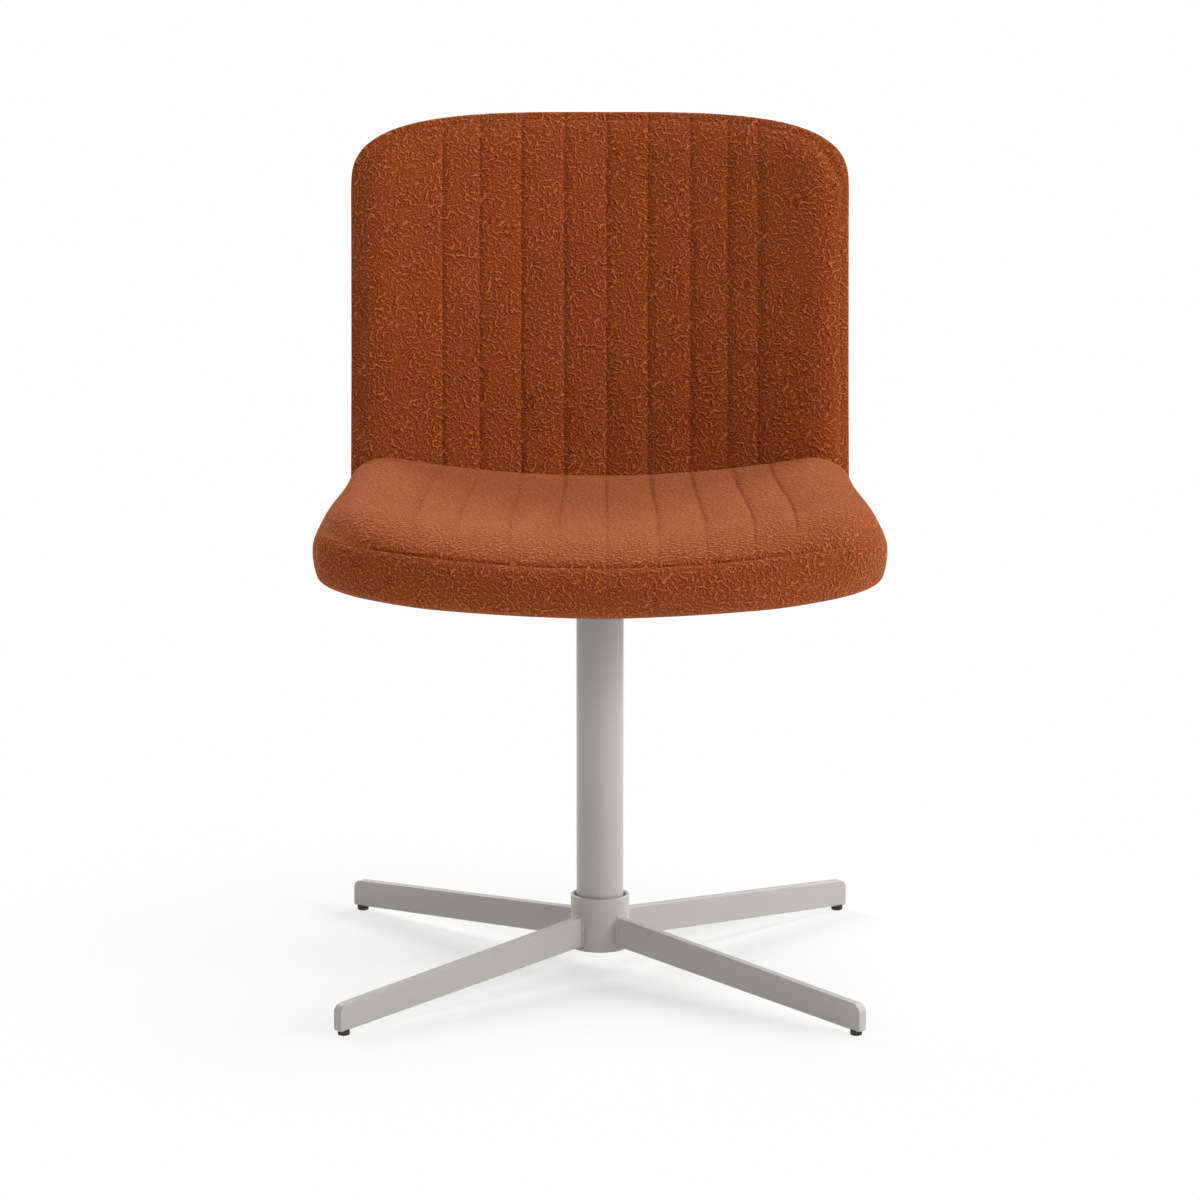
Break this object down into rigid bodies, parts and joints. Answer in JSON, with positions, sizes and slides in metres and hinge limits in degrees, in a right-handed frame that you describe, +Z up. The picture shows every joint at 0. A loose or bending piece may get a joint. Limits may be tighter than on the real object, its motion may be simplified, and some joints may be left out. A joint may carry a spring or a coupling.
{
  "type": "visitor chair",
  "caption": "Armless swivel visitor chair: channelled upholstered seat and curved back on a round column with a star base of flat bars on glides.",
  "frame": {"origin": "on the floor under the column's axis", "axes": "+Z up, -Y towards the front of the seat, +X to the right as seen from the front"},
  "size_m": [0.5734, 0.5525, 0.8624],
  "materials": {
    "painted_steel": "satin warm grey powder coat",
    "bare_steel": "zinc plated",
    "bearing_nylon": "natural nylon",
    "black_plastic": "moulded, fine grain",
    "glide_rubber": "hard rubber",
    "plywood": "beech ply, sanded",
    "rust_fabric": "looped woven upholstery",
    "lining_cloth": "black non-woven lining"
  },
  "bodies": {
    "base": {"hub_tube": "painted_steel", "hub_floor": "painted_steel", "hub_cap": "black_plastic", "dust_ring": "black_plastic", "spindle": "bare_steel", "spindle_nut": "bare_steel", "thrust_washer": "bearing_nylon", "retaining_washer": "bare_steel", "retaining_screw": "bare_steel", "leg_front_left": "painted_steel", "leg_front_right": "painted_steel", "leg_rear_left": "painted_steel", "leg_rear_right": "painted_steel", "glide_front_left": "glide_rubber", "glide_front_right": "glide_rubber", "glide_rear_left": "glide_rubber", "glide_rear_right": "glide_rubber"},
    "seat": {"column_tube": "painted_steel", "lower_bush": "bearing_nylon", "upper_bush": "bearing_nylon", "seat_plate": "painted_steel", "seat_plate_screws": "bare_steel", "seat_tee_nuts": "bare_steel", "seat_board": "plywood", "seat_cushion": "rust_fabric", "seat_dust_cover": "lining_cloth", "bracket_left": "painted_steel", "bracket_right": "painted_steel", "bracket_seat_screws": "bare_steel", "bracket_back_screws": "bare_steel", "back_tee_nuts": "bare_steel", "back_board": "plywood", "back_cushion": "rust_fabric", "back_rear_cover": "rust_fabric"}
  },
  "joints": [
    {"name": "seat_swivel", "type": "hinge", "parent": "base", "child": "seat", "pos_m": [0, 0, 0.0564], "axis": [0, 0, 1], "continuous": true}
  ]
}
